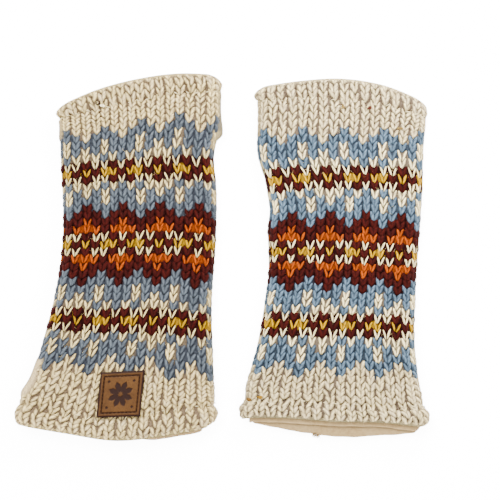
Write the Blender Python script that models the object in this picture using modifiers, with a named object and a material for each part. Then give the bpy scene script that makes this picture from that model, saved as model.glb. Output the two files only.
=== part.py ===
"""A pair of fleece-lined, fingerless hand warmers in knitted wool, lying flat side by side.

Each one is a knitted tube with a slit for the thumb in its inner side, a hem turned in and sewn at
both ends, and a fleece tube sewn inside it. The left one carries a square leather patch near the
wrist. +Y points to the fingers, +X to the right and +Z up, and the pair rests on the plane z = 0.

Rows of stitches are counted from the wrist edge, 0, to the finger edge, 47.
"""

import math
from collections import namedtuple

import bmesh
import bpy
import numpy as np
from mathutils import Vector
from mathutils.bvhtree import BVHTree

MM = 0.001

# The knit
FINGER_EDGE = 47
CROWN = 0.5 * MM  # how much higher the front lies in the middle than at its sides
HEM_TURN = 0.7 * MM  # how far both faces of a hem have turned in at its edge
HEM_TURN_ROWS = 0.6

# The lining and the patch
LINING_WALL = 1.8 * MM
LINING_GAP = 0.5 * MM
PATCH_WALL = 1.6 * MM
PATCH_GAP = 0.4 * MM
PATCH_CELLS = 8

# The thumb slit, cut as a long lens that narrows towards the inside
SLIT_HEIGHT_OUTSIDE = 3.2 * MM
SLIT_HEIGHT_INSIDE = 1.4 * MM
SLIT_DEPTH = 7.2 * MM
SLIT_STEPS = 8

# How finely the tubes are divided round a side fold and across the front or back
FOLD_STEPS = 8
FLAT_STEPS = 8

Guide = namedtuple("Guide", "row left quarter middle three_quarters right")
Side = namedtuple("Side", "row left right")
Level = namedtuple("Level", "row height wall")
Rounding = namedtuple("Rounding", "wrist_left wrist_right finger_left finger_right")
Lip = namedtuple("Lip", "front back")
Corner = namedtuple("Corner", "x y")
Mitt = namedtuple("Mitt", "name place thumb_side guides sides rounding slit hang hang_peak lip")

STATIONS = (0.0, 0.25, 0.5, 0.75, 1.0)

# How high each mitt lies and how thick its knit is, in millimetres
LEVELS = (
    Level(0, 16.2, 5.0),
    Level(1.5, 16.8, 5.1),
    Level(2.3, 16.2, 4.8),
    Level(3, 14.6, 4.0),
    Level(3.8, 14.8, 3.8),
    Level(8, 14.8, 3.8),
    Level(14, 14.4, 3.8),
    Level(24, 14.0, 3.8),
    Level(34, 14.2, 3.8),
    Level(43.2, 14.4, 3.8),
    Level(44, 13.9, 3.8),
    Level(44.7, 14.3, 4.9),
    Level(45.5, 14.6, 5.3),
    Level(47, 13.8, 5.1),
)

# Where certain rows of stitches lie on the front: how far up, in millimetres from the mitt's
# middle, at the left edge, across the front, and at the right edge
LEFT_GUIDES = (
    Guide(0, -98.8, -103.8, -108.0, -105.2, -99.6),
    Guide(3, -84.9, -92.6, -93.8, -90.2, -86.7),
    Guide(7, -66.0, -69.4, -70.5, -72.9, -74.0),
    Guide(13.5, -35.4, -37.5, -37.5, -38.2, -40.7),
    Guide(23.5, 7.7, 8.0, 8.6, 8.7, 7.2),
    Guide(33.5, 48.4, 50.1, 51.5, 52.7, 51.5),
    Guide(40, 74.6, 76.5, 81.4, 84.9, 83.6),
    Guide(44, 81.6, 87.1, 92.6, 96.7, 98.0),
    Guide(47, 88.7, 98.9, 105.2, 108.4, 107.7),
)
RIGHT_GUIDES = (
    Guide(0, -94.4, -94.7, -96.8, -97.4, -100.5),
    Guide(3, -84.8, -84.6, -86.4, -87.9, -87.4),
    Guide(7, -69.6, -71.1, -70.2, -72.0, -72.9),
    Guide(13.5, -39.2, -40.1, -40.1, -40.1, -41.3),
    Guide(23.5, 3.5, 3.2, 3.2, 2.1, 0.6),
    Guide(33.5, 44.3, 45.8, 46.7, 46.3, 44.0),
    Guide(40, 75.8, 76.1, 76.7, 75.9, 73.2),
    Guide(44, 91.6, 93.2, 92.6, 89.4, 81.9),
    Guide(47, 100.2, 103.9, 105.3, 101.4, 91.5),
)

# How far out the two side folds lie at certain rows, in millimetres from the mitt's middle
LEFT_SIDES = (
    Side(0, -71.0, 45.6),
    Side(1.5, -73.0, 47.9),
    Side(3, -68.8, 46.2),
    Side(5.5, -63.6, 45.8),
    Side(8, -59.8, 45.3),
    Side(11, -56.0, 44.8),
    Side(14, -52.2, 44.2),
    Side(17, -49.2, 44.3),
    Side(20.5, -46.6, 45.4),
    Side(24, -45.1, 46.6),
    Side(27, -44.6, 46.9),
    Side(30, -44.9, 47.1),
    Side(32.3, -45.4, 46.6),
    Side(34.8, -45.9, 45.6),
    Side(37.4, -46.4, 47.6),
    Side(39, -46.4, 49.0),
    Side(41.3, -46.5, 49.0),
    Side(43.5, -46.9, 49.4),
    Side(44, -47.2, 49.7),
    Side(45.5, -48.8, 50.3),
    Side(47, -47.9, 48.2),
)
RIGHT_SIDES = (
    Side(0, -60.2, 51.2),
    Side(1.5, -60.9, 52.2),
    Side(3, -58.4, 49.4),
    Side(5.5, -56.2, 47.1),
    Side(8, -53.6, 45.4),
    Side(11, -50.4, 43.8),
    Side(14, -47.7, 43.4),
    Side(17, -45.8, 44.1),
    Side(20.5, -43.9, 44.4),
    Side(24, -43.9, 45.6),
    Side(27, -44.3, 46.6),
    Side(28.4, -43.6, 47.0),
    Side(29.4, -43.2, 47.3),
    Side(31.8, -44.6, 48.0),
    Side(34, -46.2, 48.4),
    Side(35.2, -48.2, 48.4),
    Side(37, -50.4, 48.6),
    Side(39, -50.5, 49.2),
    Side(41.3, -50.2, 49.8),
    Side(43.5, -50.5, 50.3),
    Side(44, -50.8, 50.5),
    Side(45.5, -52.3, 51.0),
    Side(47, -50.9, 49.8),
)

# The slit's ends are rows. The rounding of the four corners, the hang, which is how much lower
# the back lies at the wrist, and the lip, which is how far the lining shows past the knit there,
# are in millimetres. The peak is how far across, from the left, the back hangs lowest.
LEFT = Mitt(
    name="left",
    place=-49.7,
    thumb_side="right",
    guides=LEFT_GUIDES,
    sides=LEFT_SIDES,
    rounding=Rounding(2.5, 2.0, 1.5, 2.4),
    slit=(32.3, 37.4),
    hang=0.4,
    hang_peak=0.68,
    lip=Lip(0.5, 0.7),
)
RIGHT = Mitt(
    name="right",
    place=70.7,
    thumb_side="left",
    guides=RIGHT_GUIDES,
    sides=RIGHT_SIDES,
    rounding=Rounding(0.8, 1.5, 2.0, 1.5),
    slit=(28.4, 35.2),
    hang=7.4,
    hang_peak=0.55,
    lip=Lip(2.4, 1.2),
)

# The patch's corners on the left mitt, in millimetres from its middle, from the top left one
# clockwise as seen from above
PATCH_CORNERS = (
    Corner(-21.4, -68.2),
    Corner(3.7, -66.9),
    Corner(1.4, -92.4),
    Corner(-24.2, -93.2),
)

# The rows that the tubes have rings at: the hem's and the body's
WRIST_HEM = (0, 0.6, 1.5, 2.3, 3, 3.8)
FINGER_HEM = (43.2, 44, 44.7, 45.5, 46.4, 47)
BODY = (5.5, 8, 11, 14, 17, 20.5, 24, 27, 28.7, 30.5, 32.5, 34.5, 36.3, 38.2, 40.5)


def smooth(at, known, values):
    """The smooth curve through some known points, read at one place or at many."""
    known = np.asarray(known, float)
    values = np.asarray(values, float)
    slopes = np.gradient(values, known)
    low = np.clip(np.searchsorted(known, at) - 1, 0, len(known) - 2)
    span = known[low + 1] - known[low]
    t = (at - known[low]) / span
    return (
        (2 * t**3 - 3 * t**2 + 1) * values[low]
        + (t**3 - 2 * t**2 + t) * span * slopes[low]
        + (3 * t**2 - 2 * t**3) * values[low + 1]
        + (t**3 - t**2) * span * slopes[low + 1]
    )


def column(table, name):
    return [getattr(entry, name) for entry in table]


def level(row, name):
    """How high the mitt lies at a row, or how thick its knit is."""
    return float(np.interp(row, column(LEVELS, "row"), column(LEVELS, name))) * MM


def side(mitt, row, name):
    """How far out a side fold lies at a row."""
    return float(smooth(row, column(mitt.sides, "row"), column(mitt.sides, name))) * MM


def around():
    """Where the points of a ring lie, from the thumb's fold over the front to the outer fold and
    back under the mitt: their turn about a fold, and their place from fold to fold, 1 to -1."""
    quarter = np.linspace(0, math.pi / 2, FOLD_STEPS // 2 + 1)
    half = np.linspace(math.pi / 2, math.pi * 3 / 2, FOLD_STEPS + 1)
    across = np.linspace(1, -1, FLAT_STEPS + 1)[1:-1]
    front = np.full(len(across), math.pi / 2)
    last = quarter[:-1] + math.pi * 3 / 2
    turn = np.concatenate([quarter, front, half, front * 3, last])
    by_thumb = np.ones(len(quarter))
    place = np.concatenate([by_thumb, across, -np.ones(len(half)), across[::-1], by_thumb[1:]])
    return turn, place


def up_the_front(mitt, row, fraction):
    """How far up the points of a row lie on the front, from their places between the left edge,
    0, and the right edge, 1."""
    rows = column(mitt.guides, "row")
    stations = [float(smooth(row, rows, column(mitt.guides, name))) for name in Guide._fields[1:]]
    return smooth(fraction, STATIONS, stations) * MM


def corner_pull(mitt, row, fraction, fold):
    """How far the corners of the tube draw the points of a row towards its middle."""
    at_wrist = max(0, 1 - row / 3)
    at_fingers = max(0, 1 - (FINGER_EDGE - row) / 3)
    rounding = mitt.rounding
    wrist = np.where(fraction < 0.5, rounding.wrist_left, rounding.wrist_right)
    fingers = np.where(fraction < 0.5, rounding.finger_left, rounding.finger_right)
    return (at_wrist * wrist - at_fingers * fingers) * fold**2.4 * MM


def back_hang(mitt, row, fraction):
    """How much lower the back lies than the front near the wrist."""
    peak = mitt.hang_peak
    climb = np.where(fraction < peak, fraction / peak, (1 - fraction) / (1 - peak))
    fade = max(0, 1 - row / 5) ** 2
    return mitt.hang * np.sin(np.clip(climb, 0, 1) * math.pi / 2) ** 0.9 * fade * MM


def ring(mitt, row, turned=0.0, past=Lip(0.0, 0.0)):
    """The points of the knit's outer face at one row, turned in by a distance, or moved out past
    the wrist's edge."""
    left, right = side(mitt, row, "left"), side(mitt, row, "right")
    radius = level(row, "height") / 2
    turn, place = around()
    rise = np.sin(turn)
    out = np.cos(turn)
    across = place * ((right - left) / 2 - radius) + radius * out
    z = radius + (radius - turned) * rise + CROWN * (1 - place**2) * (rise > 0)
    to_thumb = 1 if mitt.thumb_side == "right" else -1
    fraction = 0.5 + to_thumb * across / (right - left)
    frontness = (1 + rise) / 2
    y = up_the_front(mitt, row, fraction) + corner_pull(mitt, row, fraction, np.abs(out))
    y = y - back_hang(mitt, row, fraction) * (1 - frontness)
    y = y - (past.front * frontness + past.back * (1 - frontness)) * MM
    x = (left + right) / 2 + to_thumb * (across - turned * out)
    return np.stack([x, y, z], axis=1)


def skin_mesh(name, mitt, rings, shares):
    """An open tube through its rings. shares gives the weight of each ring's points."""
    bm = bmesh.new()
    weights = bm.verts.layers.deform.verify()
    lines = []
    for points, share in zip(rings, shares):
        line = [bm.verts.new(point) for point in points]
        for vert in line:
            vert[weights][0] = share
        lines.append(line)
    for below, above in zip(lines, lines[1:]):
        for i in range(len(below)):
            corners = [below[i - 1], below[i], above[i], above[i - 1]]
            if mitt.thumb_side == "right":
                corners.reverse()
            bm.faces.new(corners)
    mesh = bpy.data.meshes.new(name)
    bm.to_mesh(mesh)
    bm.free()
    mesh.shade_smooth()
    return mesh


def add_object(mesh, material, collection, holder):
    made = bpy.data.objects.new(mesh.name, mesh)
    mesh.materials.append(material)
    collection.objects.link(made)
    made.parent = holder
    return made


def add_wall(made, thickness, offset=-1, group=""):
    """Thickens a skin: inwards, or outwards where the offset is 1."""
    solid = made.modifiers.new("wall", "SOLIDIFY")
    solid.thickness = thickness
    solid.offset = offset
    solid.vertex_group = group


def cut_with(made, cutter):
    cut = made.modifiers.new("slit", "BOOLEAN")
    cut.operation = "DIFFERENCE"
    cut.solver = "EXACT"
    cut.object = cutter


def plain_material(name, color, roughness):
    made = bpy.data.materials.new(name)
    made.use_nodes = True
    surface = made.node_tree.nodes["Principled BSDF"]
    surface.inputs["Base Color"].default_value = (*color, 1)
    surface.inputs["Roughness"].default_value = roughness
    surface.inputs["Metallic"].default_value = 0
    return made


def slit_cutter(mitt, cutters, holder):
    """A long lens through the thumb's fold, from outside the knit to inside the lining."""
    to_thumb = 1 if mitt.thumb_side == "right" else -1
    low, high = mitt.slit
    bm = bmesh.new()
    loops = []
    for i in range(SLIT_STEPS + 1):
        row = low + (high - low) * i / SLIT_STEPS
        at = np.array([side(mitt, row, mitt.thumb_side), 0, level(row, "height") / 2])
        at[1] = float(up_the_front(mitt, row, 0.5 + to_thumb / 2))
        open_by = max(math.sin(math.pi * i / SLIT_STEPS) ** 0.7, 0.02)
        outside, inside = SLIT_HEIGHT_OUTSIDE / 2 * open_by, SLIT_HEIGHT_INSIDE / 2 * open_by
        corners = [(2 * MM, -outside), (2 * MM, outside), (-SLIT_DEPTH, inside), (-SLIT_DEPTH, -inside)]
        loops.append([bm.verts.new(at + (to_thumb * x, 0, z)) for x, z in corners])
    for below, above in zip(loops, loops[1:]):
        for i in range(4):
            bm.faces.new([below[i - 1], below[i], above[i], above[i - 1]])
    bm.faces.new(loops[0])
    bm.faces.new(loops[-1])
    bmesh.ops.recalc_face_normals(bm, faces=bm.faces)
    mesh = bpy.data.meshes.new(f"{mitt.name}_thumb_slit")
    bm.to_mesh(mesh)
    bm.free()
    cutter = bpy.data.objects.new(mesh.name, mesh)
    cutters.objects.link(cutter)
    cutter.parent = holder
    cutter.hide_render = True
    cutter.display_type = "WIRE"
    return cutter


def knit_tube(mitt, wool, cutter, collection, holder):
    """The knitted tube, thicker at both hems, where the knit is turned in and sewn."""
    thickest = max(column(LEVELS, "wall")) * MM
    rings = []
    shares = []
    for row in (*WRIST_HEM, *BODY, *FINGER_HEM):
        from_end = min(row, FINGER_EDGE - row)
        turned = HEM_TURN * max(0, 1 - from_end / HEM_TURN_ROWS)
        rings.append(ring(mitt, row, turned))
        shares.append((level(row, "wall") - 2 * turned) / thickest)
    mesh = skin_mesh(f"{mitt.name}_knit_tube", mitt, rings, shares)
    made = add_object(mesh, wool, collection, holder)
    group = made.vertex_groups.new(name="wall")
    add_wall(made, thickest, group=group.name)
    cut_with(made, cutter)
    return made


def fleece_lining(mitt, fleece, cutter, collection, holder):
    """The fleece tube inside the knit: its outer face moved in past the knit, then thickened. It
    shows past the knit at the wrist and ends at the sewn line of the hem at the fingers."""
    deepest = max(column(LEVELS, "wall")) * MM + LINING_GAP
    rings = []
    shares = []
    for row in (0, *WRIST_HEM[2:], *BODY, *FINGER_HEM[:2]):
        past = mitt.lip if row == 0 else Lip(0.0, 0.0)
        rings.append(ring(mitt, row, past=past))
        shares.append((level(row, "wall") + LINING_GAP) / deepest)
    mesh = skin_mesh(f"{mitt.name}_fleece_lining", mitt, rings, shares)
    made = add_object(mesh, fleece, collection, holder)
    group = made.vertex_groups.new(name="depth")
    inset = made.modifiers.new("inset", "DISPLACE")
    inset.strength = -deepest
    inset.mid_level = 0
    inset.vertex_group = group.name
    add_wall(made, LINING_WALL)
    cut_with(made, cutter)
    return made


def leather_patch(mitt, knit, leather, collection, holder):
    """The patch: a sheet between its four corners that lies on the points of the knit."""
    top_left, top_right, low_right, low_left = (np.array(corner) * MM for corner in PATCH_CORNERS)
    skin = knit.data
    knit_faces = [tuple(face.vertices) for face in skin.polygons]
    tree = BVHTree.FromPolygons([vert.co for vert in skin.vertices], knit_faces)
    bm = bmesh.new()
    bmesh.ops.create_grid(bm, x_segments=PATCH_CELLS, y_segments=PATCH_CELLS, size=0.5)
    for vert in bm.verts:
        across, up = vert.co.x + 0.5, vert.co.y + 0.5
        upper = top_left * (1 - across) + top_right * across
        lower = low_left * (1 - across) + low_right * across
        x, y = lower * (1 - up) + upper * up
        touched, _, _, _ = tree.ray_cast(Vector((x, y, 1)), Vector((0, 0, -1)))
        vert.co = (x, y, touched.z + PATCH_GAP)
    mesh = bpy.data.meshes.new(f"{mitt.name}_leather_patch")
    bm.to_mesh(mesh)
    bm.free()
    made = add_object(mesh, leather, collection, holder)
    add_wall(made, PATCH_WALL, offset=1)
    return made


def clear_scene():
    for old in list(bpy.data.objects):
        bpy.data.objects.remove(old, do_unlink=True)


def centre_pair(holders, made):
    """Moves the pair so that the middle of its outline, seen from above, lies on the origin."""
    bpy.context.view_layer.update()
    corners = [one.matrix_world @ vert.co for one in made for vert in one.data.vertices]
    corners = np.array(corners)
    middle = (corners.min(axis=0) + corners.max(axis=0)) / 2
    for holder in holders:
        holder.location.x -= middle[0]
        holder.location.y -= middle[1]


def main():
    clear_scene()
    collection = bpy.data.collections.new("hand_warmers")
    bpy.context.scene.collection.children.link(collection)
    wool = plain_material("knitted_wool", (0.55, 0.50, 0.46), 0.95)
    fleece = plain_material("fleece", (0.86, 0.77, 0.66), 1.0)
    leather = plain_material("tan_leather", (0.48, 0.26, 0.11), 0.6)
    cutters = bpy.data.collections.new("cutters")
    bpy.context.scene.collection.children.link(cutters)
    holders = []
    made = []
    for mitt in (LEFT, RIGHT):
        holder = bpy.data.objects.new(f"{mitt.name}_hand_warmer", None)
        holder.location.x = mitt.place * MM
        collection.objects.link(holder)
        holders.append(holder)
        cutter = slit_cutter(mitt, cutters, holder)
        knit = knit_tube(mitt, wool, cutter, collection, holder)
        made += [knit, fleece_lining(mitt, fleece, cutter, collection, holder)]
        if mitt is LEFT:
            made.append(leather_patch(mitt, knit, leather, collection, holder))
    centre_pair(holders, made)


main()
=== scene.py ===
"""Dresses a pair of knitted, fleece-lined hand warmers: every stitch, the sewn hems, the fleece and
the leather patch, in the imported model's own frame.

Heights on the knit are given in rows of its pattern, from the wrist edge, 0, to the finger edge, 47.
The plain rows below the pattern are set closer. Wales, the columns of stitches, are counted from
the thumb's fold over the front, 0 to 18, and back under the mitt, 36.
"""

import math
from collections import namedtuple

import bpy
import mathutils
import numpy as np
from mathutils.bvhtree import BVHTree
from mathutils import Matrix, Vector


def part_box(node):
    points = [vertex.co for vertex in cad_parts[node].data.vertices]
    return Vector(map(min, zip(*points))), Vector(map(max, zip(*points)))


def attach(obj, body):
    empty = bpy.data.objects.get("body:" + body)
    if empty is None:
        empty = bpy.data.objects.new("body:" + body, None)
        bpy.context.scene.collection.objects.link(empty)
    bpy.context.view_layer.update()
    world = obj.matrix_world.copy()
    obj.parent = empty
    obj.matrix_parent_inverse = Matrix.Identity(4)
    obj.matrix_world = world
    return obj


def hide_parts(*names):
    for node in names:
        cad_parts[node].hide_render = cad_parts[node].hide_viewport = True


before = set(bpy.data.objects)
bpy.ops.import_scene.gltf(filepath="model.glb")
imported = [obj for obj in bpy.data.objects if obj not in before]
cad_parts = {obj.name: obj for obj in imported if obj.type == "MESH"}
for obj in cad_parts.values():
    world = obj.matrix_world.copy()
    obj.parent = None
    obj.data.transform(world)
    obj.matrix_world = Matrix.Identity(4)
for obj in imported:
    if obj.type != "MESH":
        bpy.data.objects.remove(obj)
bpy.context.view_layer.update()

MM = 0.001


def table(columns, *rows):
    """A table whose columns have names."""
    kind = namedtuple("Row", columns)
    return [kind(*row) for row in rows]


# The knit
ROWS = 47
WALES = 36
HALF = WALES / 2  # the wale at the outer fold
ROW_PITCH = 4.4 * MM
WALE_PITCH = 5.5 * MM
CROWN = 0.5 * MM  # how much higher the front is in its middle than at its folds
CORNER_ROWS = 3  # how far from an edge its corners are rounded
CORNER_POWER = 2.4  # how sharply that comes in towards the folds
HANG_ROWS = 5  # how far from the wrist the back hangs lower
HANG_POWER = 0.9
HEM_PITCH = 4.2 * MM  # the height of a row near the edges
HEM_ROUND = 2.3 * MM  # the radius on which the knit turns in at its edges
SEAM_ROWS = 3  # how many rows in from its edge a hem is sewn
SEAM_SINK = 0.9 * MM
SEAM_HALF_ROWS = 0.4
GROUND_DEPTH = 2.0 * MM  # how far below the outer face the ground behind the stitches lies
GROUND_DEPTH_AT_EDGE = 0.0 * MM
GROUND_DEPTH_AT_FOLD = 0.6 * MM
GROUND_STEPS = 3  # faces of the ground to a row and to a wale
GROUND_ROWS = (-0.8, ROWS + 0.9)  # it goes a little way round into both hems
GROUND_FOLD_WALES = 1.4  # how near to a side fold it rises
FILLING_YARNS = "OY"  # the yarns that fill the gaps between their own stitches
GROUND_FILLED = 0.45  # how near the ground comes to their colour there
GROUND_PALE = 0.85  # and to a yarn's own colour at the hems' edges, and at the side folds
GROUND_PALE_AT_FOLD = 0.6
EDGE_SINK = 1.1 * MM  # how much deeper the strands lie at the hems' edges and at the side folds
EDGE_SINK_ROWS = 0.5
FOLD_SINK = 0.3 * MM
FOLD_SINK_WALES = 0.8
TURNED_SHADE = 0.88  # how much painted shade darkens the knit where it turns down to the surface it lies on
SIDE_SHADE = 0.52  # how much painted shade darkens a strand at its sides, in its grooves and between its fibres
GROOVE_SHADE = 0.25
FIBRE_SHADE = 0.42
SLIT_HALF = 0.29  # half the thumb slit's width, in wales, in the knit and in the lining
LINING_SLIT_HALF = 0.14
SLIT_POWER = 0.7  # below 1, so that the slit is blunt at its ends
SLIT_REACH = 1.5  # how many wales away the opened slit is still felt
HEATHER_FLECK = (0.20, 0.145, 0.080)
HEATHER_GREY = (0.27, 0.230, 0.150)
THREAD = (0.68, 0.57, 0.290)
# The hem thread's colour in painted shade, at its sides and in its grooves
THREAD_SHADE = (0.30, 0.24, 0.150)

# The lining
LINING_WALL = 1.7 * MM
LINING_GAP = 0.5 * MM
LINING_STEPS = 3  # faces of the lining to a wale
LIP_HIDDEN = 1.3  # how far inside the knit its lip lies where it doesn't show, in millimetres
FLEECE_SEAM_WALE = 28.3  # where the fleece's own seam runs up the back of the right mitt
FLEECE_SEAM_SINK = 0.6 * MM
FLEECE_SEAM_HALF = 0.09  # wales
FLEECE_LUMPS = table("width height seed", (9 * MM, 0.22 * MM, 3), (2.6 * MM, 0.12 * MM, 4))
LIP_ROWS = 1.5  # over how many rows the fleece is drawn out to the edge of its lip
LIP_WAVE = 0.35 * MM
LIP_WAVE_WIDTH = 12 * MM
LIP_ROLL = 0.4  # how far the edge of the lip bulges, as a share of its wall
FLEECE = (0.290, 0.200, 0.092)
FLEECE_LIGHT = (0.37, 0.275, 0.150)
FLEECE_SHADOW = (0.220, 0.144, 0.065)
# The fleece's colour in painted shade, with a dark outline, where it turns down at its edges
FLEECE_TURNED_SHADE = (0.080, 0.052, 0.027)

# The patch: its corners on the left mitt, in millimetres from its middle, clockwise from the top
# left, the running stitch, and the star and the dots pressed into it
PATCH_SIDE = 25.5 * MM
PATCH_CORNERS = table("x y", (-21.4, -67.5), (4.3, -66.2), (1.7, -93.1), (-24.0, -94.0))
PATCH_CELLS = 110
PATCH_READ = 0.92  # the share of its size at which its height is read off the CAD solid
PATCH_ROUND = 1.3 * MM  # how far in from its edge it is rounded and burnt
PATCH_STITCH_INSET = 2.5 * MM
PATCH_STITCHES = 9  # to a side
PATCH_STITCH_SHARE = 0.75  # how much of its place a stitch fills
PATCH_STITCH_RADIUS = 0.3 * MM
PATCH_STITCH_SINK = 0.42 * MM  # how deep its ends lie
PATCH_STITCH_RISE = 0.4 * MM
LINE_HALF_WIDTH = 0.42 * MM
LINE_DEPTH = 0.35 * MM
STAR_RADIUS = 7.6 * MM
STAR_SOFTNESS = 0.05
STAR_DEPTH = 0.3 * MM
STAR_DOTS = table("x y", (-7.3, 7.3), (7.3, 7.3), (-7.3, -7.3), (7.3, -7.3))
DOT_RADIUS = 1.1 * MM
LEATHER = (0.055, 0.0235, 0.0060)
LEATHER_DARK = (0.035, 0.0145, 0.0038)
LEATHER_BURNT = (0.0095, 0.0034, 0.0020)
PATCH_THREAD = (0.016, 0.0058, 0.0030)

# The picture: straight down, with 0.59 mm of the pair to a pixel of the photograph
VIEW_WIDTH = 0.295
VIEW_CENTRE = (16.5 * MM, 4.6 * MM)
CAMERA_HEIGHT = 1.5
SENSOR_WIDTH = 36
IN_FOCUS = 7 * MM  # the height at which the scale is right
WORLD_LIGHT = 2.7
FLOOR_REACH = 3.0
FLOOR_GLOW = 11.0  # keeps the floor as pale as the photograph's
LAMPS = table(
    "name place width power",
    ("key", (-0.35, 0.45, 1.3), 0.7, 56.0),
    ("fill", (0.6, -0.3, 1.2), 1.2, 3.0),
    ("over_the_right_fingers", (0.14, 0.20, 0.22), 0.14, 2.6),
)

# How high each mitt lies and how thick its knit is, in millimetres
LEVELS = table(
    "row height wall",
    (0, 16.2, 5.0),
    (1.5, 16.8, 5.1),
    (2.3, 16.2, 4.8),
    (3, 14.6, 4.0),
    (3.8, 14.8, 3.8),
    (8, 14.8, 3.8),
    (14, 14.4, 3.8),
    (24, 14.0, 3.8),
    (34, 14.2, 3.8),
    (43.2, 14.4, 3.8),
    (44, 13.9, 3.8),
    (44.7, 14.3, 4.9),
    (45.5, 14.6, 5.3),
    (47, 13.8, 5.1),
)

# Where certain rows lie on the front, in millimetres up from the mitt's middle, at five places from
# the left edge to the right one
STATIONS = (0.0, 0.25, 0.5, 0.75, 1.0)
LEFT_GUIDES = table(
    "row left quarter middle three_quarters right",
    (0, -98.8, -103.8, -108.0, -105.2, -99.6),
    (3, -84.9, -92.6, -93.8, -90.2, -86.7),
    (7, -66.0, -69.4, -70.5, -72.9, -74.0),
    (13.5, -35.4, -37.5, -37.5, -38.2, -40.7),
    (23.5, 7.7, 8.0, 8.6, 8.7, 7.2),
    (33.5, 48.4, 50.1, 51.5, 52.7, 51.5),
    (40, 74.6, 76.5, 81.4, 84.9, 83.6),
    (44, 81.6, 87.1, 92.6, 96.7, 98.0),
    (47, 88.7, 98.9, 105.2, 108.4, 107.7),
)
RIGHT_GUIDES = table(
    "row left quarter middle three_quarters right",
    (0, -94.4, -94.7, -96.8, -97.4, -100.5),
    (3, -84.8, -84.6, -86.4, -87.9, -87.4),
    (7, -69.6, -71.1, -70.2, -72.0, -72.9),
    (13.5, -39.2, -40.1, -40.1, -40.1, -41.3),
    (23.5, 3.5, 3.2, 3.2, 2.1, 0.6),
    (33.5, 44.3, 45.8, 46.7, 46.3, 44.0),
    (40, 75.8, 76.1, 76.7, 75.9, 73.2),
    (44, 91.6, 93.2, 92.6, 89.4, 81.9),
    (47, 100.2, 103.9, 105.3, 101.4, 91.5),
)

# How far out the side folds lie at certain rows, in millimetres from the mitt's middle
LEFT_SIDES = table(
    "row left right",
    (0, -71.6, 45.6),
    (1.5, -73.4, 47.9),
    (3, -70.6, 46.2),
    (4.2, -68.8, 46.0),
    (5.5, -65.0, 45.8),
    (8, -60.2, 45.3),
    (11, -56.0, 44.8),
    (14, -52.2, 44.2),
    (17, -49.2, 44.3),
    (20.5, -46.6, 45.4),
    (24, -45.1, 46.6),
    (27, -44.6, 46.9),
    (30, -44.9, 47.1),
    (32.3, -45.4, 46.6),
    (34.8, -45.9, 45.6),
    (37.4, -46.4, 47.6),
    (39, -46.4, 49.0),
    (41.3, -46.5, 49.0),
    (43.5, -46.9, 49.4),
    (44, -47.2, 49.7),
    (45.5, -48.8, 50.3),
    (47, -47.9, 48.2),
)
RIGHT_SIDES = table(
    "row left right",
    (0, -60.2, 51.2),
    (1.5, -60.9, 52.2),
    (2.4, -60.7, 50.6),
    (3, -58.9, 49.4),
    (5.5, -57.3, 47.1),
    (8, -54.2, 45.4),
    (11, -50.4, 43.8),
    (14, -47.7, 43.4),
    (17, -45.8, 44.1),
    (20.5, -43.9, 44.4),
    (24, -43.9, 45.6),
    (27, -44.3, 46.6),
    (28.4, -43.6, 47.0),
    (29.4, -43.2, 47.3),
    (31.8, -44.6, 48.0),
    (34, -46.2, 48.4),
    (35.2, -48.2, 48.4),
    (37, -50.4, 48.6),
    (39, -50.5, 49.2),
    (41.3, -50.2, 49.8),
    (43.5, -50.5, 50.3),
    (44, -50.8, 50.5),
    (45.5, -52.3, 51.0),
    (47, -50.9, 49.8),
)

# How far the stitches on the front have strayed from an even spread, in millimetres to the right
# and up, at the same five places
LEFT_STRAYS = table(
    "row right up",
    (0, (0.6, 1.2, 0.6, -0.6, 0.0), (0.0, 0.0, 0.0, 0.0, 0.0)),
    (5, (1.2, 1.8, 0.6, -1.2, -0.6), (0.3, 0.5, 0.9, 0.8, 0.6)),
    (9, (2.2, 2.3, 0.3, -1.8, -1.0), (0.6, 1.0, 1.8, 1.5, 1.6)),
    (12, (1.2, 2.0, 0.0, -1.5, -0.9), (0.0, 0.3, 0.2, 0.3, 0.0)),
    (16, (0.6, 0.4, -0.6, -0.6, 0.5), (-0.8, -0.2, 0.0, -0.3, -1.0)),
    (23, (0.0, 0.4, -1.2, -0.6, 0.6), (-1.0, -0.6, -0.6, -0.6, -1.2)),
    (31, (0.6, 1.2, -1.2, -0.6, 0.0), (-1.5, 0.0, -0.6, -0.6, -0.6)),
    (38, (0.3, 1.8, -1.0, -1.5, 0.6), (-1.8, -0.6, -1.2, -0.9, -1.8)),
    (47, (0.3, 1.0, -0.6, -1.0, 0.3), (0.0, 0.0, 0.0, 0.0, 0.0)),
)
RIGHT_STRAYS = table(
    "row right up",
    (0, (0.0, 0.0, 0.6, 0.0, 0.0), (0.0, 0.0, 0.0, 0.0, 0.0)),
    (7, (-0.6, 0.3, 1.7, 0.0, -0.9), (1.8, 1.2, 0.4, 1.5, 1.8)),
    (10, (-1.2, -0.3, 0.8, -1.2, -1.5), (-0.2, 0.3, -0.2, 0.2, 0.2)),
    (15, (-1.0, -1.5, 0.3, -1.8, -1.4), (0.0, 0.6, 0.1, -1.2, -0.8)),
    (21, (-0.6, -0.9, 0.9, -2.3, -2.0), (-0.8, 0.3, -0.3, -0.6, -0.3)),
    (26, (-0.6, -0.3, 0.8, -2.3, -2.3), (-0.6, -0.1, -0.3, -0.6, -0.5)),
    (33, (-2.2, -1.7, -0.1, -2.3, -2.3), (-0.6, 0.4, -0.1, -0.5, 0.5)),
    (39, (-0.9, -1.5, -0.9, -1.5, -1.8), (-1.0, 0.3, -0.8, -0.6, 0.6)),
    (47, (0.0, -0.6, -0.3, -0.6, -0.6), (0.0, 0.0, 0.0, 0.0, 0.0)),
)

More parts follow.
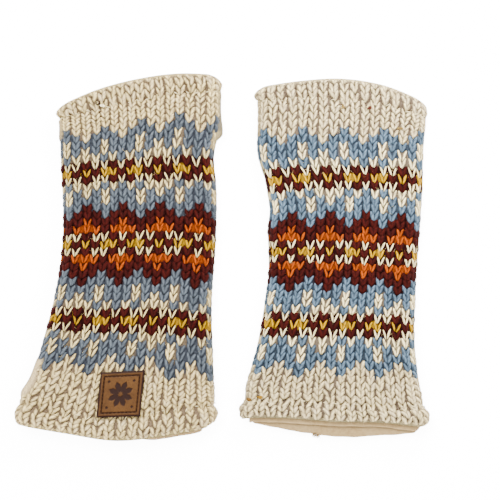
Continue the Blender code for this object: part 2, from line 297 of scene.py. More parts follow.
# How far the right-hand strand of a stitch leans to the right on its way up, in wales, at the left
# and the right edge of each mitt
LEFT_LEANS = table(
    "row left right",
    (0, 0.04, -0.02),
    (4, 0.16, 0.03),
    (6.9, 0.18, 0.05),
    (10, 0.22, 0.08),
    (16, 0.08, 0.05),
    (30, 0.03, 0.03),
    (43, 0.0, 0.0),
    (45, -0.16, -0.10),
    (47, -0.22, -0.14),
)
RIGHT_LEANS = table(
    "row left right",
    (0, 0.14, -0.22),
    (3, 0.12, -0.20),
    (6, 0.08, 0.0),
    (20, 0.07, 0.07),
    (30, 0.05, 0.05),
    (43, 0.0, 0.0),
    (47, -0.12, -0.12),
)

# The repeat of the pattern, eight stitches wide. Each line is a row at a distance from one of the
# two narrow yellow rows, 0 to 6, or from the middle row of the wide band, 0 to 3. A letter is the
# colour of a stitch, and X is heathered cream towards the cuffs and burgundy towards the wide band.
NARROW_BAND = (
    "YBYBYYBY",
    "WWBWWBWB",
    "LWWWLWLW",
    "WLWLWLLL",
    "WLLLWLLL",
    "LLXLLLXL",
    "LXXXLXXX",
)
WIDE_BAND = (
    "YBYBYYBY",
    "WWBWWBWB",
    "BOOOBOOO",
    "BBOBBBOB",
)
REPEAT = 8
LOW_BAND_ROW = 13
WIDE_BAND_ROW = 23
HIGH_BAND_ROW = 33
PATTERN_FROM = 7  # the first row with another colour in it

# The yarns: what each letter stands for, its own colour, and its colour in painted shade, for the
# gaps in it, the sides of its strands and where it turns down, as linear light. The left mitt's
# yarns are a little darker and warmer.
Yarn = namedtuple("Yarn", "name colour gap")
LEFT_YARNS = {
    "C": Yarn("heathered_cream", (0.55, 0.422, 0.176), (0.100, 0.069, 0.041)),
    "W": Yarn("cream", (0.58, 0.45, 0.193), (0.080, 0.058, 0.036)),
    "L": Yarn("light_blue", (0.056, 0.067, 0.077), (0.023, 0.026, 0.033)),
    "B": Yarn("burgundy", (0.0225, 0.0021, 0.0013), (0.0100, 0.0012, 0.0010)),
    "Y": Yarn("mustard", (0.30, 0.160, 0.001), (0.060, 0.030, 0.002)),
    "O": Yarn("orange", (0.215, 0.033, 0.0004), (0.050, 0.009, 0.001)),
}
RIGHT_YARNS = {
    "C": Yarn("heathered_cream", (0.61, 0.49, 0.243), (0.086, 0.062, 0.041)),
    "W": Yarn("cream", (0.83, 0.68, 0.340), (0.085, 0.065, 0.044)),
    "L": Yarn("light_blue", (0.067, 0.102, 0.138), (0.018, 0.025, 0.034)),
    "B": Yarn("burgundy", (0.0230, 0.0023, 0.0014), (0.0100, 0.0013, 0.0011)),
    "Y": Yarn("mustard", (0.38, 0.205, 0.001), (0.065, 0.032, 0.002)),
    "O": Yarn("orange", (0.240, 0.038, 0.0004), (0.055, 0.010, 0.001)),
}

# A strand of a stitch, from the tip of its V to where it goes under the row above
LEG_START = -0.10  # rows
LEG_LENGTH = 1.3
LEG_TIP_OUT = 0.05  # how far from the middle of its V it starts and ends, in wales
LEG_TOP_OUT = 0.38
LEG_CURVE = 1.15
LEG_HALF_WIDTH = 1.10 * MM
LEG_HALF_THICKNESS = 1.0 * MM
LEG_SHAPE = table(  # how far along it, its share of the full width, how deep in millimetres
    "along width depth",
    (0.00, 0.28, 0.80),
    (0.12, 0.64, 0.25),
    (0.30, 0.94, 0.00),
    (0.52, 1.05, 0.00),
    (0.72, 0.98, 0.10),
    (0.88, 0.74, 0.65),
    (1.00, 0.36, 1.50),
)
# How much strands differ: in length, in height, in how far they open, across, in width, in depth
LEG_DIFFERS = (0.05, 0.05, 0.1, 0.03, 0.07, 0.12 * MM)
LEG_SIZES = (0.78, 1.2)  # the least and the most, as shares of the usual width
FRONT_DETAIL = (7, 7)  # rings along a strand, and points round it
BACK_DETAIL = (5, 5)
USUAL_SPREAD = {"B": 1.2, "C": 1.02, "W": 0.76}  # how broad the yarns are, where not 1
SLIM_IN_BANDS = {"W": 0.59, "O": 0.78, "Y": 0.70}  # in the rows that the broadest yarn runs through

# How much more uneven the stitches are at some rows, and how much broader their strands
UNEVEN = table(
    "row by",
    (0, 1.5), (3, 1.6), (4, 1.4), (6, 1.3), (8, 1.0),
    (39, 1.0), (41, 1.3), (43, 1.4), (44, 1.6), (47, 1.5),
)
FULL_IN_HEMS = table(
    "row by",
    (2.5, 1.2), (5, 1.13), (6.9, 1.1), (7, 1.02), (12, 1.0), (42, 1.0), (44.5, 1.12),
)

# The fuzz: fine fibres that stand off the yarn and off the fleece
FIBRES = 4500  # on each mitt
FIBRES_ON_FRONT = 0.72
FIBRE_LENGTH = (1.2 * MM, 3.6 * MM)
FIBRE_RADIUS = 0.035 * MM
FIBRE_ROOT = 0.7 * MM  # how deep in the yarn it starts
NAP_FIBRES = 2600  # on each lining
NAP_ROWS = 4  # how far it reaches into the mitt
NAP_LENGTH = (0.8 * MM, 2.0 * MM)
NAP_RADIUS = 0.05 * MM
NAP_ROOT = 0.2 * MM
TUFT_FIBRES = 420  # where the fleece's seam ends at the wrist

# Smooth stretches along the side folds, where the stitches are drawn flat: about which fold, how
# far to each side of it, between which rows, and how far they swell out near the lower end in
# millimetres
STRIPS = table(
    "mitt fold half_width low high swell colour",
    ("left", 0, 0.55, 37.1, 44.2, 2.1, (0.30, 0.24, 0.135)),
    ("left", HALF, 0.8, 38.2, 43.6, 0.2, (0.34, 0.25, 0.130)),
    ("left", HALF, 1.2, 3.8, 8.4, 0.2, (0.38, 0.285, 0.150)),
)
STRIP_DEPTH = -0.1 * MM

# Small curls of other colours that are caught in the yarn
FLECKS = table(
    "mitt row wale colour",
    ("left", 44.3, 12.7, (0.85, 0.76, 0.480)),
    ("left", 44.7, 13.0, (0.020, 0.013, 0.008)),
    ("right", 3.7, 2.1, (0.20, 0.100, 0.008)),
    ("right", 3.4, 1.1, (0.12, 0.060, 0.015)),
    ("right", 43.1, 11.7, (0.055, 0.018, 0.011)),
    ("right", 43.0, 9.1, (0.16, 0.100, 0.030)),
    ("right", 40.1, 14.7, (0.16, 0.100, 0.030)),
)
CURLS_IN_FLECK = 5

# Short strands that come up out of the knit and go back into it: how deep their ends lie, how far
# they rise, and their radius in the middle and, as a share of it, at the ends
Bow = namedtuple("Bow", "depth rise radius ends")
THREAD_BOW = Bow(0.75 * MM, 0.95 * MM, 0.36 * MM, 0.55)
FLECK_BOW = Bow(0.05 * MM, 0.45 * MM, 0.36 * MM, 0.6)
THREAD_SIDES = 6

# A mitt. Its thumb side is 1 for the right and -1 for the left. Its rounding is how far each corner
# is drawn in, its hang how far the back shows below the front, and where most, and its lip how far
# the fleece shows at the wrist, in millimetres. Its slit runs between two rows. Its first stitch of
# a row lies on its first wale and on its first column of the repeat, and its cuff pitch is the
# height of a plain row below the pattern.
Rounding = namedtuple("Rounding", "wrist_left wrist_right finger_left finger_right")
Lip = namedtuple("Lip", "front back hidden_to")
Mitt = namedtuple(
    "Mitt",
    "name thumb guides sides strays leans yarns rounding slit hang hang_peak lip"
    " first_wale first_column cuff_pitch",
)
LEFT = Mitt(
    name="left",
    thumb=1,
    guides=LEFT_GUIDES,
    sides=LEFT_SIDES,
    strays=LEFT_STRAYS,
    leans=LEFT_LEANS,
    yarns=LEFT_YARNS,
    rounding=Rounding(-0.4, 2.0, 1.5, 2.4),
    slit=(32.3, 37.4),
    hang=0.4,
    hang_peak=0.68,
    lip=Lip(0.5, 0.7, 0.6),
    first_wale=0.7,
    first_column=16,
    cuff_pitch=0.7,
)
RIGHT = Mitt(
    name="right",
    thumb=-1,
    guides=RIGHT_GUIDES,
    sides=RIGHT_SIDES,
    strays=RIGHT_STRAYS,
    leans=RIGHT_LEANS,
    yarns=RIGHT_YARNS,
    rounding=Rounding(-1.2, 1.5, 2.0, 1.5),
    slit=(28.4, 35.2),
    hang=7.4,
    hang_peak=0.55,
    lip=Lip(2.4, 1.2, -1.0),
    first_wale=0.4,
    first_column=3,
    cuff_pitch=0.94,
)

chance = np.random.default_rng(11)


# Shapes of the mitts


def column(rows, name):
    """A column of a table."""
    return np.array([getattr(row, name) for row in rows], float)


def read(rows, at, name):
    """A column of a table at some rows of the knit, even between those that it lists."""
    return np.interp(at, column(rows, "row"), column(rows, name))


def within(values):
    """Values held between 0 and 1."""
    return np.clip(values, 0, 1)


def blend(first, second, share):
    return np.multiply(first, 1 - share) + np.multiply(second, share)


def bell(distance, width):
    return np.exp(-((distance / width) ** 2))


def unit(vectors):
    return vectors / np.maximum(np.linalg.norm(vectors, axis=-1, keepdims=True), 1e-12)


def smooth(at, known, values):
    """The smooth curve through some known points, read at many places. values holds one curve, or
    a column for each place."""
    known, values = np.asarray(known, float), np.asarray(values, float)
    slopes = np.gradient(values, known, axis=0)
    low = np.clip(np.searchsorted(known, at) - 1, 0, len(known) - 2)
    pick = (low,) if values.ndim == 1 else (low, np.arange(len(low)))
    after = (low + 1, *pick[1:])
    span = known[low + 1] - known[low]
    t = (at - known[low]) / span
    return (
        (2 * t**3 - 3 * t**2 + 1) * values[pick]
        + (t**3 - 2 * t**2 + t) * span * slopes[pick]
        + (3 * t**2 - 2 * t**3) * values[after]
        + (t**3 - t**2) * span * slopes[after]
    )


def level(row, name):
    """How high the mitt lies at some rows, or how thick its knit is."""
    return read(LEVELS, row, name) * MM


def side(mitt, row, name):
    """How far out a side fold lies at some rows."""
    return smooth(row, column(mitt.sides, "row"), column(mitt.sides, name)) * MM


def up_the_front(mitt, row, fraction):
    """How far up points lie on the front, by their places between the left edge, 0, and 1."""
    rows = column(mitt.guides, "row")
    stations = mitt.guides[0]._fields[1:]
    heights = [smooth(row, rows, column(mitt.guides, name)) for name in stations]
    return smooth(fraction, STATIONS, heights) * MM


def corner_pull(mitt, row, fraction, fold):
    """How far the corners of the tube draw points towards its middle."""
    at_wrist = np.maximum(1 - row / CORNER_ROWS, 0)
    at_fingers = np.maximum(1 - (ROWS - row) / CORNER_ROWS, 0)
    rounding = mitt.rounding
    wrist = np.where(fraction < 0.5, rounding.wrist_left, rounding.wrist_right)
    fingers = np.where(fraction < 0.5, rounding.finger_left, rounding.finger_right)
    return (at_wrist * wrist - at_fingers * fingers) * fold**CORNER_POWER * MM


def back_hang(mitt, row, fraction):
    """How much lower the back lies than the front near the wrist."""
    peak = mitt.hang_peak
    climb = within(np.where(fraction < peak, fraction / peak, (1 - fraction) / (1 - peak)))
    fade = np.maximum(1 - row / HANG_ROWS, 0) ** 2
    return mitt.hang * np.sin(climb * math.pi / 2) ** HANG_POWER * fade * MM


def outer_face(mitt, row, wale, past=0.0):
    """Points of the knit's outer face, round the mitt's own middle. past is how far on the way
    they are from the wrist's edge to the edge of the lip."""
    left, right = side(mitt, row, "left"), side(mitt, row, "right")
    radius = level(row, "height") / 2
    quarter, core = radius * math.pi / 2, (right - left) / 2 - radius
    flat = 2 * core
    along = (wale % WALES) / WALES * (4 * quarter + 2 * flat)
    turn = within(along / quarter) + 2 * within((along - quarter - flat) / quarter / 2)
    turn = (turn + within((along - 3 * quarter - 2 * flat) / quarter)) * math.pi / 2
    place = 1 - 2 * within((along - quarter) / flat)
    place = place + 2 * within((along - 3 * quarter - flat) / flat)
    rise, out = np.sin(turn), np.cos(turn)
    across = place * core + radius * out
    z = radius + radius * rise + CROWN * (1 - place**2) * (rise > 0)
    fraction = 0.5 + mitt.thumb * across / (right - left)
    frontness = (1 + rise) / 2
    y = up_the_front(mitt, row, fraction) + corner_pull(mitt, row, fraction, np.abs(out))
    y = y - back_hang(mitt, row, fraction) * (1 - frontness)
    shown = within((fraction - mitt.lip.hidden_to) / 0.1)
    reach = blend(-LIP_HIDDEN, blend(mitt.lip.back, mitt.lip.front, frontness), shown)
    return np.stack([(left + right) / 2 + mitt.thumb * across, y - past * reach * MM, z], axis=-1)


def directions(mitt, row, wale):
    """The way the outer face looks at some points, and the way up it to the next row."""
    step = 0.05
    up = unit(outer_face(mitt, row + step, wale) - outer_face(mitt, row - step, wale))
    on = unit(outer_face(mitt, row, wale + step) - outer_face(mitt, row, wale - step))
    return unit(np.cross(up, on)) * mitt.thumb, up


def slit_opening(mitt, row):
    """How far open the thumb slit is at some rows, 0 to 1."""
    low, high = mitt.slit
    return np.sin(math.pi * within((row - low) / (high - low))) ** SLIT_POWER


def from_slit(wale):
    """How many wales round from the thumb's fold, less than 0 on its lower side."""
    return (wale + HALF) % WALES - HALF


def parted(mitt, row, wale, half):
    """Wales moved apart at the thumb slit, by half its width there."""
    distance = from_slit(wale)
    sides = np.where(distance < 0, -1, 1)
    return wale + sides * slit_opening(mitt, row) * half * np.exp(-np.abs(distance) / SLIT_REACH)


def by_the_slit(mitt, row, wale):
    """Wales moved so that the slit runs between two of them."""
    edge_wale = mitt.first_wale - 0.5
    low, high = mitt.slit
    there = within(1 - np.maximum(np.maximum(low - row, row - high), 0) / 2)
    return wale - edge_wale * there * bell(from_slit(wale) - edge_wale, 3)


def front_fraction(mitt, wale):
    """About where wales lie between the front's left edge, 0, and its right one, 1."""
    wale = wale % WALES
    across = np.where(wale > WALES - 1, 0, np.minimum(wale, HALF) / HALF)
    return 1 - across if mitt.thumb > 0 else across


def from_fold(wale):
    """How many wales away the nearer side fold is."""
    return HALF / 2 - np.abs(wale % HALF - HALF / 2)


def strayed(mitt, row, wale):
    """Rows and wales of the front's stitches, moved as they have strayed."""
    on_front = within(HALF + 1 - wale % WALES) + (wale % WALES > WALES - 1)
    station = front_fraction(mitt, wale) * (len(STATIONS) - 1)
    rows = column(mitt.strays, "row")
    right, up = np.zeros((2, *wale.shape))
    for number in range(len(STATIONS)):
        share = on_front * within(1 - np.abs(station - number)) * MM
        right += share * np.interp(row, rows, column(mitt.strays, "right")[:, number])
        up += share * np.interp(row, rows, column(mitt.strays, "up")[:, number])
    return row + up / ROW_PITCH, wale - mitt.thumb * right / WALE_PITCH


def settled(mitt):
    """Where the mitt's own middle lies in the frame, so that its outer face fills the CAD's box."""
    low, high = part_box(f"{mitt.name}_knit_tube")
    rows, wales = np.meshgrid(np.linspace(0, ROWS, 95), np.arange(0, WALES, 0.25))
    points = outer_face(mitt, rows.ravel(), wales.ravel())
    middle = (points.min(axis=0) + points.max(axis=0)) / 2
    return np.array([(low.x + high.x) / 2 - middle[0], (low.y + high.y) / 2 - middle[1], 0])


def cloth(mitt, row, wale, depth):
    """Points in the knit, at a depth below its outer face, and the way the knit looks there. Rows
    past the edges, below 0 or over 47, lie inside the hems, where the knit is turned in."""
    shape = np.broadcast(row, wale).shape
    spread = (np.broadcast_to(part, shape).ravel().astype(float) for part in (row, wale, depth))
    row, wale, depth = spread
    at_wrist = row < ROWS / 2
    from_edge = np.where(at_wrist, row, ROWS - row)
    full = HEM_ROUND / HEM_PITCH
    bend = np.clip(from_edge / full, -math.pi / 2, math.pi / 2)
    first_flat = full * math.pi / 2
    flat = full + (from_edge - first_flat) * (SEAM_ROWS - full) / (SEAM_ROWS - first_flat)
    inside = np.where(from_edge < SEAM_ROWS, flat, from_edge)
    inside = np.where(from_edge < first_flat, full * (1 - np.cos(bend)), inside)
    face_row = np.where(at_wrist, inside, ROWS - inside)
    facing, up = directions(mitt, face_row, wale)
    outward = np.where(at_wrist, -1, 1)[:, None] * up
    bend = bend[:, None]
    points = outer_face(mitt, face_row, wale) - facing * HEM_ROUND * (1 - np.sin(bend))
    looks = unit(facing * np.sin(bend) + outward * np.cos(bend))
    depth = depth + SEAM_SINK * bell(from_edge - SEAM_ROWS, SEAM_HALF_ROWS)
    points = points - looks * depth[:, None]
    return points.reshape(*shape, 3), looks.reshape(*shape, 3)


# Meshes


def new_mesh(name, points, faces):
    """A mesh from its points and a list of arrays of faces, each array with its own corner count."""
    mesh = bpy.data.meshes.new(name)
    corners = [face for part in faces for face in part.tolist()]
    mesh.from_pydata(np.reshape(points, (-1, 3)).tolist(), [], corners)
    mesh.validate()
    mesh.shade_smooth()
    return mesh


def show(name, data):
    made = bpy.data.objects.new(name, data)
    bpy.context.scene.collection.objects.link(made)
    return made


def put(mesh, material, centre):
    """Shows a mesh as a piece of the pair."""
    mesh.materials.append(material)
    mesh.transform(mathutils.Matrix.Translation(centre))
    made = show(mesh.name, mesh)
    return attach(made, "root")


def keep_on_points(mesh, name, values):
    """Keeps a number, a vector or a colour for each point, for the material to read."""
    kinds = {1: ("FLOAT", "value"), 3: ("FLOAT_VECTOR", "vector"), 4: ("FLOAT_COLOR", "color")}
    values = np.asarray(values, np.float32).reshape(len(mesh.vertices), -1)
    kind, key = kinds[values.shape[1]]
    mesh.attributes.new(name, kind, "POINT").data.foreach_set(key, values.ravel())


def keep_colours(mesh, name, colours):
    """Keeps colours on a mesh, one for each point or for each of its strands."""
    colours = np.reshape(colours, (-1, 3))
    colours = np.column_stack([colours, np.ones(len(colours))])
    keep_on_points(mesh, name, colours.repeat(len(mesh.vertices) // len(colours), axis=0))


def turned_down(looks):
    """How far a face looks away from straight up, 0 to 1."""
    return within((0.75 - looks[..., 2]) / 0.75)


def strands(path, facing, half_width, half_thickness, sides):
    """Closed strands round some paths, all with as many points. Returns their points, their faces,
    and for each point how far along its strand, how far round it and which strand it is on."""
    count, rings = path.shape[:2]
    along = unit(np.gradient(path, axis=1))
    across = unit(np.cross(along, facing))
    up = np.cross(across, along)
    angle = np.arange(sides) / sides * 2 * math.pi - math.pi / 2
    across = across[:, :, None] * (half_width[:, :, None] * np.cos(angle))[..., None]
    up = up[:, :, None] * (half_thickness[:, :, None] * np.sin(angle))[..., None]
    points = path[:, :, None] + across + up
    numbers = np.arange(count * rings * sides).reshape(count, rings, sides)
    after = np.roll(numbers, -1, axis=2)
    quads = [numbers[:, :-1], after[:, :-1], after[:, 1:], numbers[:, 1:]]
    faces = [np.stack(quads, axis=-1).reshape(-1, 4), numbers[:, 0, ::-1], numbers[:, -1]]
    where = np.zeros((count, rings, sides, 3))
    length = np.linalg.norm(np.diff(path, axis=1), axis=2).cumsum(axis=1)
    where[:, 1:, :, 0] = length[:, :, None] / MM
    where[..., 1] = np.arange(sides) / sides
    where[..., 2] = chance.random(count)[:, None, None]
    return points.reshape(-1, 3), faces, where.reshape(-1, 3)


def strand_mesh(name, path, facing, half_width, half_thickness, sides):
    points, faces, where = strands(path, facing, half_width, half_thickness, sides)
    mesh = new_mesh(name, points, faces)
    keep_on_points(mesh, "strand", where)
    # How far each ring turns down, for the painted shade and dark outline there
    keep_on_points(mesh, "turned", turned_down(facing)[:, :, None].repeat(sides, axis=2))
    return mesh


def bowed_strands(mitt, name, rows, wales, bow):
    """A mesh of short strands that come up out of the knit and go back into it."""
    out = np.sin(math.pi * np.linspace(0, 1, rows.shape[1]))
    path, facing = cloth(mitt, rows, wales % WALES, bow.depth - bow.rise * out)
    size = np.broadcast_to(bow.radius * blend(bow.ends, 1, out), rows.shape)
    return strand_mesh(f"{mitt.name}_{name}", path, facing, size, size, THREAD_SIDES)


def fibre_mesh(name, roots, first, second, length, radius):
    """Fine fibres from their roots, each bent once, from a first direction to a second one."""
    middle = roots + unit(first) * length[:, None] * 0.5
    tip = middle + unit(second) * length[:, None] * 0.5
    path = np.stack([roots, middle, tip], axis=1)
    path[..., 2] = np.maximum(path[..., 2], radius)
    facing = unit(np.cross(first, chance.normal(0, 1, first.shape)))[:, None].repeat(3, axis=1)
    taper = np.array([1.0, 0.8, 0.25]) * radius * np.ones((len(roots), 1))
    points, faces, _ = strands(path, facing, taper, taper, 3)
    return new_mesh(name, points, faces)


def seam_grid(open_rings, rings, around):
    """The numbers of the points of a tube's rings, each with one point more than it has steps. The
    last point of a ring is its first one again, apart from the rings by the slit."""
    numbers = np.arange(rings * (around + 1)).reshape(rings, around + 1)
    numbers[~open_rings, -1] = numbers[~open_rings, 0]
    return numbers


def quads_between(numbers):
    """The faces of a tube, wound as its rings and points run."""
    quads = [numbers[:-1, :-1], numbers[:-1, 1:], numbers[1:, 1:], numbers[1:, :-1]]
    return np.stack(quads, axis=-1).reshape(-1, 4)


def around_tube(steps):
    """Wales round a tube, from one side of the slit to the other."""
    wales = np.linspace(0, WALES, steps + 1)
    wales[-1] -= 1e-6
    return wales


# Materials


def new_material(name, roughness):
    made = bpy.data.materials.new(name)
    made.use_nodes = True
    surface = made.node_tree.nodes["Principled BSDF"]
    surface.inputs["Roughness"].default_value = roughness
    surface.inputs["Specular IOR Level"].default_value = 0.05
    return made, made.node_tree, surface


def join(tree, value, socket):
    if isinstance(value, bpy.types.NodeSocket):
        tree.links.new(value, socket)
    else:
        socket.default_value = value


def node(tree, kind, output, **inputs):
    """An output of a new node. Its inputs are given by their names, with _ for a space."""
    made = tree.nodes.new("ShaderNode" + kind)
    for name, value in inputs.items():
        join(tree, value, made.inputs[name.replace("_", " ")])
    return made.outputs[output]


def number(tree, operation, *values):
    made = tree.nodes.new("ShaderNodeMath")
    made.operation = operation
    for value, socket in zip(values, made.inputs):
        join(tree, value, socket)
    return made.outputs[0]


def times(tree, first, second):
    return number(tree, "MULTIPLY", first, second)


def mixed(tree, factor, first, second):
    """A colour between two others, given as three numbers or as a socket."""
    made = tree.nodes.new("ShaderNodeMix")
    made.data_type = "RGBA"
    join(tree, factor, made.inputs[0])
    for colour, place in ((first, 6), (second, 7)):
        join(tree, (*colour, 1) if isinstance(colour, tuple) else colour, made.inputs[place])
    return made.outputs[2]


def noise(tree, place, scale, detail=3.0, rough=0.55):
    settings = {"Scale": scale, "Detail": detail, "Roughness": rough}
    return node(tree, "TexNoise", "Fac", Vector=place, **settings)


def ramp(tree, value, low, high):
    """0 below low, 1 above high, and even in between."""
    return node(tree, "MapRange", "Result", Value=value, From_Min=low, From_Max=high)


def kept(tree, name, output="Vector"):
    made = tree.nodes.new("ShaderNodeAttribute")
    made.attribute_name = name
    return made.outputs[output]


def finished(tree, surface, shade, height, distance, strength=1.0):
    """Gives a surface its colour, and the relief that is too fine for the mesh."""
    tree.links.new(shade, surface.inputs["Base Color"])
    relief = {"Height": height, "Distance": distance, "Strength": strength}
    tree.links.new(node(tree, "Bump", "Normal", **relief), surface.inputs["Normal"])


def yarn_material(name, colour, gap, heathered):
    """Loosely twisted wool: plies, fibres along them, and a tint of its own for each strand."""
    made, tree, surface = new_material(name, 0.92)
    along, around, one = node(tree, "SeparateXYZ", 0, Vector=kept(tree, "strand")).node.outputs
    turned = number(tree, "ADD", around, times(tree, along, 0.11))
    plies = number(tree, "SINE", times(tree, turned, 6 * math.pi))
    stretched = {"X": times(tree, along, 0.38), "Y": times(tree, turned, 5.0)}
    place = node(tree, "CombineXYZ", 0, Z=times(tree, one, 60.0), **stretched)
    fibres = noise(tree, place, 1.6, 4.0, 0.65)
    # Painted shade: darker between the fibres, in the grooves between the plies and at a strand's
    # sides
    dark = times(tree, ramp(tree, fibres, 0.55, 0.35), FIBRE_SHADE)
    dark = number(tree, "MULTIPLY_ADD", ramp(tree, plies, 0.2, -1.0), GROOVE_SHADE, dark)
    low = number(tree, "COSINE", times(tree, around, 2 * math.pi))
    dark = number(tree, "MULTIPLY_ADD", ramp(tree, low, -1.0, -0.76), SIDE_SHADE, dark)
    if heathered:
        colour = mixed(tree, times(tree, ramp(tree, one, 0.5, 1.0), 0.55), colour, HEATHER_GREY)
    shade = mixed(tree, dark, colour, gap)
    if heathered:
        flecked = ramp(tree, noise(tree, place, 0.8, 2.0), 0.54, 0.64)
        shade = mixed(tree, times(tree, flecked, 0.5), shade, HEATHER_FLECK)
    # Painted shade and a dark outline where the strand turns down to the surface it lies on
    shade = mixed(tree, times(tree, kept(tree, "turned", "Fac"), TURNED_SHADE), shade, gap)
    tint = number(tree, "MULTIPLY_ADD", one, 0.36, 0.82)
    shade = node(tree, "HueSaturation", "Color", Color=shade, Value=tint)
    height = number(tree, "MULTIPLY_ADD", plies, 0.5, fibres)
    finished(tree, surface, shade, height, 0.25 * MM, 0.7)
    return made


def coloured_material(name, attribute, bump):
    """Wool in the colours that its mesh keeps."""
    made, tree, surface = new_material(name, 0.95)
    grain = noise(tree, node(tree, "TexCoord", "Object"), 900.0, 4.0, 0.7)
    dark = times(tree, ramp(tree, grain, 0.55, 0.3), 0.5)
    shade = mixed(tree, dark, kept(tree, attribute, "Color"), (0.0, 0.0, 0.0))
    finished(tree, surface, shade, grain, bump)
    return made


def fleece_material():
    """Short, soft nap in small curls."""
    made, tree, surface = new_material("fleece", 1.0)
    place = node(tree, "TexCoord", "Object")
    curls = noise(tree, place, 420.0, 5.0, 0.68)
    pile = noise(tree, place, 1500.0, 3.0, 0.7)
    broad = ramp(tree, noise(tree, place, 90.0, 2.0), 0.4, 0.7)
    shade = mixed(tree, ramp(tree, curls, 0.35, 0.65), FLEECE_SHADOW, FLEECE)
    shade = mixed(tree, times(tree, broad, 0.25), shade, FLEECE_LIGHT)
    # Painted shade and a dark outline where the fleece turns down at its edges
    turned = times(tree, kept(tree, "turned", "Fac"), TURNED_SHADE)
    shade = mixed(tree, turned, shade, FLEECE_TURNED_SHADE)
    height = number(tree, "MULTIPLY_ADD", pile, 0.4, curls)
    finished(tree, surface, shade, height, 0.35 * MM)
    return made


def leather_material():
    """Tan leather, burnt dark at its cut edges and in the pressed lines."""
    made, tree, surface = new_material("tan_leather", 0.55)
    place = node(tree, "TexCoord", "Object")
    mottle = noise(tree, place, 120.0, 4.0, 0.6)
    grain = noise(tree, place, 1300.0, 4.0, 0.6)
    shade = mixed(tree, ramp(tree, mottle, 0.35, 0.7), LEATHER_DARK, LEATHER)
    pores = times(tree, ramp(tree, grain, 0.5, 0.3), 0.35)
    shade = mixed(tree, pores, shade, LEATHER_BURNT)
    shade = mixed(tree, kept(tree, "burnt", "Fac"), shade, LEATHER_BURNT)
    finished(tree, surface, shade, grain, 0.12 * MM, 0.6)
    return made


# The knit


def stitch_letter(mitt, row, wale_number):
    """The letter of a stitch's yarn."""
    place = (mitt.first_column - mitt.thumb * wale_number) % REPEAT
    from_middle = abs(row - WIDE_BAND_ROW)
    if from_middle < len(WIDE_BAND):
        return WIDE_BAND[from_middle][place]
    band = LOW_BAND_ROW if row < WIDE_BAND_ROW else HIGH_BAND_ROW
    from_band = abs(row - band)
    if from_band >= len(NARROW_BAND):
        return "C"
    found = NARROW_BAND[from_band][place]
    if found != "X":
        return found
    return "B" if from_middle < abs(band - WIDE_BAND_ROW) else "C"


def in_band(row):
    """Whether some rows are among those that burgundy runs through."""
    narrow = (np.abs(row - LOW_BAND_ROW) <= 1) | (np.abs(row - HIGH_BAND_ROW) <= 1)
    return narrow | (np.abs(row - WIDE_BAND_ROW) < len(WIDE_BAND))


def spread_of(key, row):
    """How wide a yarn's strands are at some rows, as a share of the usual width."""
    usual = USUAL_SPREAD.get(key, 1.0)
    return np.where(in_band(row), SLIM_IN_BANDS.get(key, usual), usual)


def rows_of_stitches(mitt):
    """Where the rows of stitches start and how high they are. Those below the pattern are set
    closer."""
    count_below = math.floor((PATTERN_FROM + 1) / mitt.cuff_pitch + 0.5)
    below = PATTERN_FROM - mitt.cuff_pitch * np.arange(count_below, 0, -1)
    above = np.arange(PATTERN_FROM, ROWS + 1)
    heights = [mitt.cuff_pitch] * count_below + [1.0] * len(above)
    return np.concatenate([below, above]), np.array(heights)


def leg_paths(mitt, row, wale, hand, high, spread, rings):
    """The paths, widths and thicknesses of some strands. hand is the side of its V that each is
    on, -1 or 1 in wales, and high is the height of its row."""
    known, widths, depths = np.array(LEG_SHAPE).T
    share = np.interp(np.linspace(0, 1, rings), np.linspace(0, 1, len(known)), known)
    differs = read(UNEVEN, row, "by")[:, None] * np.array(LEG_DIFFERS)[:, None, None]
    shaken = chance.normal(0, 1, (6, len(row), 1)) * differs
    longer, higher, wider, aside, bigger, deeper = shaken
    at_edges = [read(mitt.leans, row, name) for name in ("left", "right")]
    lean = -mitt.thumb * blend(*at_edges, front_fraction(mitt, wale))[:, None]
    rows = LEG_START + LEG_LENGTH * share * (1 + longer) + higher
    rows = row[:, None] + high[:, None] * rows
    out = LEG_TIP_OUT + (LEG_TOP_OUT - LEG_TIP_OUT) * share**LEG_CURVE * (1 + wider)
    wales = wale[:, None] + hand[:, None] * out + lean * share + aside
    size = np.clip(1 + bigger, *LEG_SIZES) * (spread * read(FULL_IN_HEMS, row, "by"))[:, None]
    size = size * np.interp(share, known, widths)
    rows, wales = strayed(mitt, rows, wales)
    wales = parted(mitt, rows, by_the_slit(mitt, rows, wales), SLIT_HALF)
    depth = LEG_HALF_THICKNESS + np.interp(share, known, depths) * MM + np.abs(deeper)
    from_edge = np.minimum(rows, ROWS - rows)
    depth = depth + EDGE_SINK * within(1 - from_edge / EDGE_SINK_ROWS)
    depth = depth + FOLD_SINK * within(1 - from_fold(wales) / FOLD_SINK_WALES)
    path, facing = cloth(mitt, rows, wales, depth)
    half_thickness = LEG_HALF_THICKNESS * np.where(facing[..., 2] < 0, np.minimum(size, 1), size)
    return path, facing, LEG_HALF_WIDTH * size, half_thickness


def stitches(mitt, centre, materials):
    """All the strands of a mitt, one piece for each yarn on its front and one on its back."""
    starts, heights = rows_of_stitches(mitt)
    rows, heights = starts.repeat(WALES), heights.repeat(WALES)
    numbers = np.tile(np.arange(WALES), len(starts))
    places = zip(rows, numbers)
    letters = np.array([stitch_letter(mitt, math.floor(row), one) for row, one in places])
    wales = numbers + mitt.first_wale
    front = (wales < HALF + 1) | (wales > WALES - 1)
    made = []
    for key, yarn in mitt.yarns.items():
        for part, there, detail in (("front", front, FRONT_DETAIL), ("back", ~front, BACK_DETAIL)):
            chosen = there & (letters == key)
            row, wale, high = (facts[chosen].repeat(2) for facts in (rows, wales, heights))
            hand = np.tile([-1, 1], chosen.sum())
            rings, sides = detail
            legs = leg_paths(mitt, row, wale, hand, high, spread_of(key, row), rings)
            mesh = strand_mesh(f"{mitt.name}_{yarn.name}_stitches_{part}", *legs, sides)
            made.append(put(mesh, materials[key], centre))
    return made


